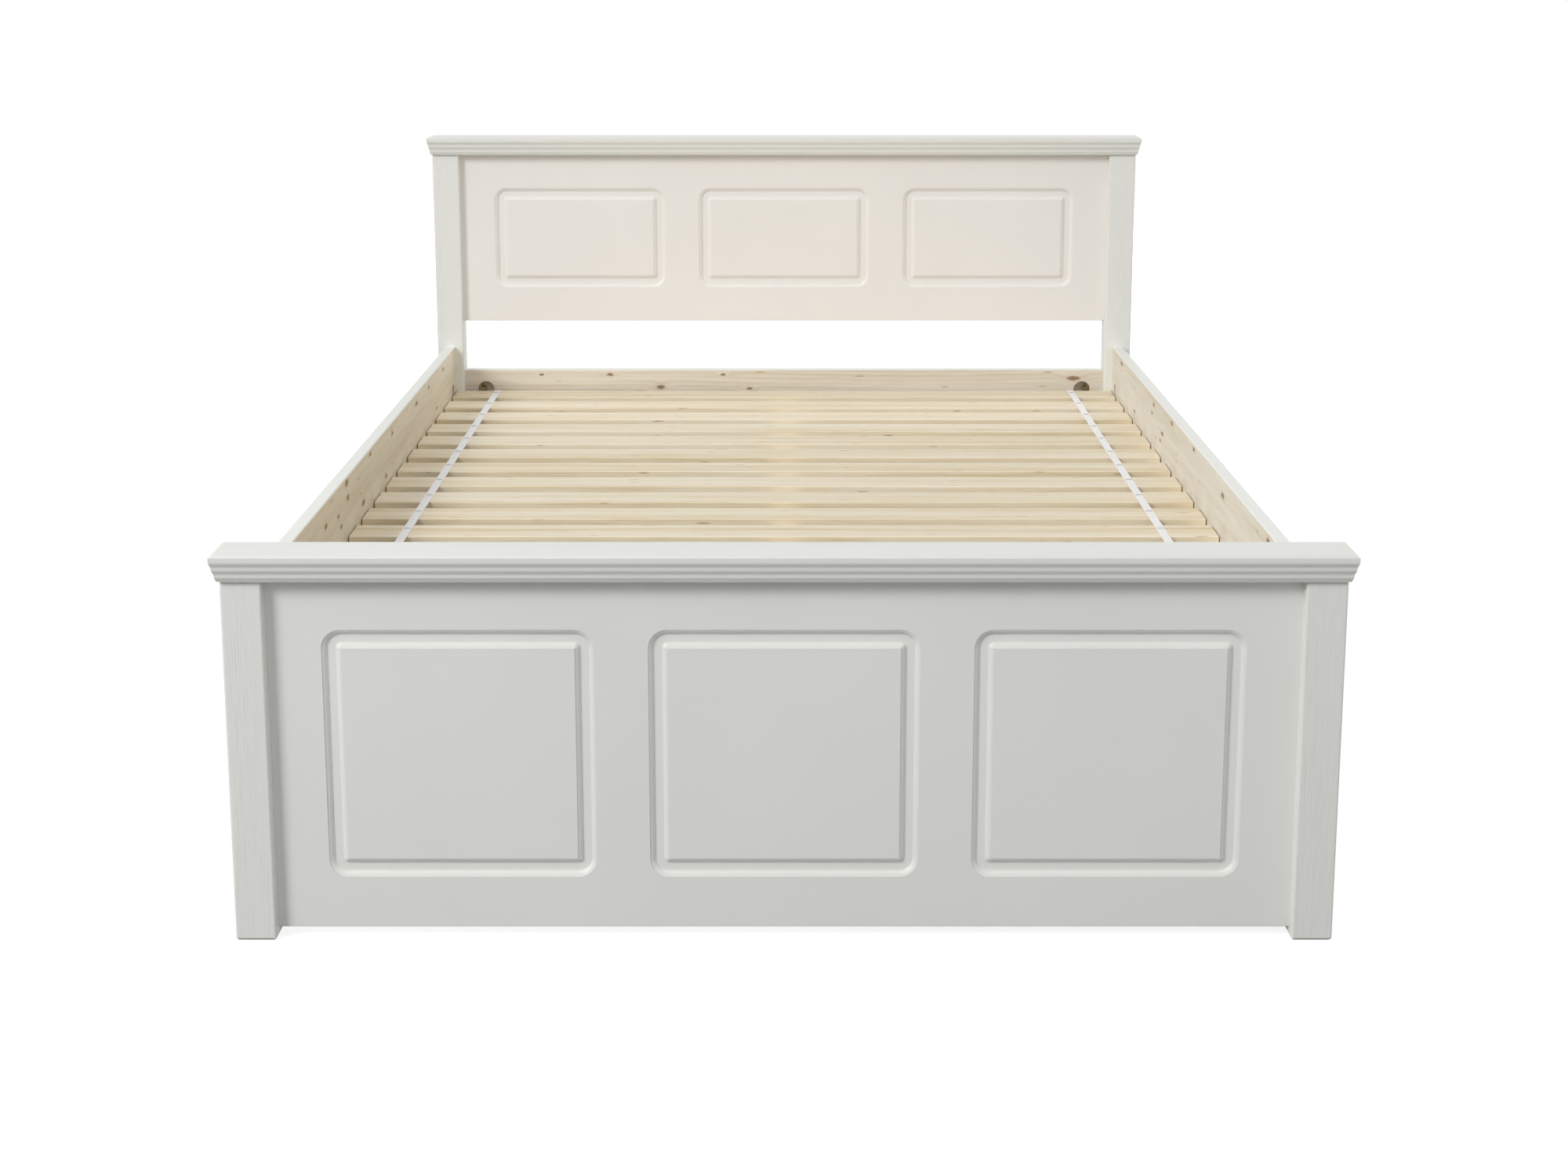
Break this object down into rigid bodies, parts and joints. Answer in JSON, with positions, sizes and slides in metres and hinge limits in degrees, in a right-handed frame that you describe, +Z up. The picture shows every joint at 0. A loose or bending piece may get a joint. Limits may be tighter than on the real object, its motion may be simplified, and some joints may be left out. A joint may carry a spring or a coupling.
{
  "type": "storage bed",
  "caption": "White double bed with raised-and-fielded end boards, reeded caps, a pine slat base and roll-out drawers under one side.",
  "frame": {"origin": "on the floor, midway between the two sides and between the two ends", "axes": "+X to the side with the drawers, the right when seen from the foot; +Y towards the head; +Z up"},
  "size_m": [1.498, 2.15, 0.927],
  "materials": {
    "white_lacquered_pine": "white lacquer over pine, satin, grain faintly visible",
    "white_lacquered_board": "white lacquer on a smooth board, satin",
    "pine": "clear-lacquered knotty pine",
    "pine_strip": "sawn and planed pine, plain",
    "beech": "fluted beech, plain",
    "zinc": "zinc-plated steel",
    "webbing": "woven white ribbon",
    "grey_plastic": "moulded, matt"
  },
  "bodies": {
    "frame": {"foot_post_left": "white_lacquered_pine", "foot_post_right": "white_lacquered_pine", "head_post_left": "white_lacquered_pine", "head_post_right": "white_lacquered_pine", "foot_cap": "white_lacquered_pine", "head_cap": "white_lacquered_pine", "foot_panel": "white_lacquered_board", "head_panel": "white_lacquered_board", "side_rail_left": "pine", "side_rail_right": "pine", "head_rail": "pine", "slat_ledge_left": "pine_strip", "slat_ledge_right": "pine_strip", "centre_beam": "pine_strip", "beam_hangers": "zinc", "centre_leg": "pine_strip", "slat_01": "pine", "slat_02": "pine", "slat_03": "pine", "slat_04": "pine", "slat_05": "pine", "slat_06": "pine", "slat_07": "pine", "slat_08": "pine", "slat_09": "pine", "slat_10": "pine", "slat_11": "pine", "slat_12": "pine", "slat_13": "pine", "slat_14": "pine", "slat_15": "pine", "slat_16": "pine", "ribbon_left": "webbing", "ribbon_right": "webbing", "staples": "zinc", "connector_bolts": "zinc", "half_moon_washers": "zinc", "connector_nuts": "zinc", "dowels": "beech", "wood_screws": "zinc"},
    "head_drawer": {"head_drawer_front": "white_lacquered_board", "head_drawer_left_side": "pine", "head_drawer_right_side": "pine", "head_drawer_back": "pine", "head_drawer_bottom": "pine_strip", "head_drawer_castors": "zinc"},
    "head_drawer_wheel_1": {"head_drawer_wheel_1": "grey_plastic"},
    "head_drawer_wheel_2": {"head_drawer_wheel_2": "grey_plastic"},
    "head_drawer_wheel_3": {"head_drawer_wheel_3": "grey_plastic"},
    "head_drawer_wheel_4": {"head_drawer_wheel_4": "grey_plastic"},
    "foot_drawer": {"foot_drawer_front": "white_lacquered_board", "foot_drawer_left_side": "pine", "foot_drawer_right_side": "pine", "foot_drawer_back": "pine", "foot_drawer_bottom": "pine_strip", "foot_drawer_castors": "zinc"},
    "foot_drawer_wheel_1": {"foot_drawer_wheel_1": "grey_plastic"},
    "foot_drawer_wheel_2": {"foot_drawer_wheel_2": "grey_plastic"},
    "foot_drawer_wheel_3": {"foot_drawer_wheel_3": "grey_plastic"},
    "foot_drawer_wheel_4": {"foot_drawer_wheel_4": "grey_plastic"}
  },
  "joints": [
    {"name": "head_drawer_slide", "type": "slide", "parent": "frame", "child": "head_drawer", "axis": [1, 0, 0], "range_m": [0, 0.6]},
    {"name": "head_drawer_wheel_1_spin", "type": "hinge", "parent": "head_drawer", "child": "head_drawer_wheel_1", "pos_m": [0.127, 0.0325, 0.025], "axis": [0, 1, 0], "range_deg": [0, 1376]},
    {"name": "head_drawer_wheel_2_spin", "type": "hinge", "parent": "head_drawer", "child": "head_drawer_wheel_2", "pos_m": [0.127, 0.9685, 0.025], "axis": [0, 1, 0], "range_deg": [0, 1376]},
    {"name": "head_drawer_wheel_3_spin", "type": "hinge", "parent": "head_drawer", "child": "head_drawer_wheel_3", "pos_m": [0.6505, 0.0325, 0.025], "axis": [0, 1, 0], "range_deg": [0, 1376]},
    {"name": "head_drawer_wheel_4_spin", "type": "hinge", "parent": "head_drawer", "child": "head_drawer_wheel_4", "pos_m": [0.6505, 0.9685, 0.025], "axis": [0, 1, 0], "range_deg": [0, 1376]},
    {"name": "foot_drawer_slide", "type": "slide", "parent": "frame", "child": "foot_drawer", "axis": [1, 0, 0], "range_m": [0, 0.6]},
    {"name": "foot_drawer_wheel_1_spin", "type": "hinge", "parent": "foot_drawer", "child": "foot_drawer_wheel_1", "pos_m": [0.127, -0.9685, 0.025], "axis": [0, 1, 0], "range_deg": [0, 1376]},
    {"name": "foot_drawer_wheel_2_spin", "type": "hinge", "parent": "foot_drawer", "child": "foot_drawer_wheel_2", "pos_m": [0.127, -0.0325, 0.025], "axis": [0, 1, 0], "range_deg": [0, 1376]},
    {"name": "foot_drawer_wheel_3_spin", "type": "hinge", "parent": "foot_drawer", "child": "foot_drawer_wheel_3", "pos_m": [0.6505, -0.9685, 0.025], "axis": [0, 1, 0], "range_deg": [0, 1376]},
    {"name": "foot_drawer_wheel_4_spin", "type": "hinge", "parent": "foot_drawer", "child": "foot_drawer_wheel_4", "pos_m": [0.6505, -0.0325, 0.025], "axis": [0, 1, 0], "range_deg": [0, 1376]}
  ],
  "couplings": [
    {"joint": "head_drawer_wheel_1_spin", "follows": "head_drawer_slide", "rad_per_m": 40},
    {"joint": "head_drawer_wheel_2_spin", "follows": "head_drawer_slide", "rad_per_m": 40},
    {"joint": "head_drawer_wheel_3_spin", "follows": "head_drawer_slide", "rad_per_m": 40},
    {"joint": "head_drawer_wheel_4_spin", "follows": "head_drawer_slide", "rad_per_m": 40},
    {"joint": "foot_drawer_wheel_1_spin", "follows": "foot_drawer_slide", "rad_per_m": 40},
    {"joint": "foot_drawer_wheel_2_spin", "follows": "foot_drawer_slide", "rad_per_m": 40},
    {"joint": "foot_drawer_wheel_3_spin", "follows": "foot_drawer_slide", "rad_per_m": 40},
    {"joint": "foot_drawer_wheel_4_spin", "follows": "foot_drawer_slide", "rad_per_m": 40}
  ]
}
